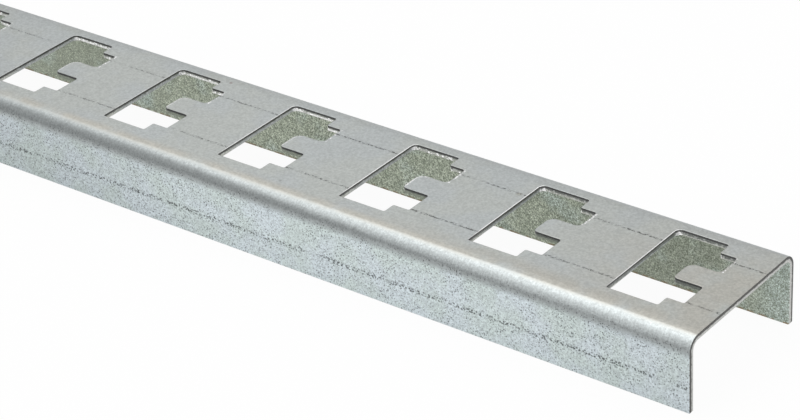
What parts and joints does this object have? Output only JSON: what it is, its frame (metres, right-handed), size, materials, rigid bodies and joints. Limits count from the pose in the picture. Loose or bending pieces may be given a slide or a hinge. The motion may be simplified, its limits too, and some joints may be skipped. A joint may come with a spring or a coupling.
{
  "type": "cable rack post",
  "caption": "Galvanised sheet-steel channel post, web up and flanges down, with a row of tongued hook-in slots for cable brackets.",
  "frame": {"origin": "middle of the post's length and width, on the level the flanges' free edges rest on", "axes": "+X along the post towards the end the slots' notches face, +Y across the web towards the rear flange, +Z out of the web"},
  "size_m": [0.5, 0.058, 0.025],
  "materials": {
    "galvanised_steel": "pre-galvanised sheet, fine spangle"
  },
  "bodies": {
    "root": {"cable_rack_post": "galvanised_steel"}
  },
  "joints": []
}
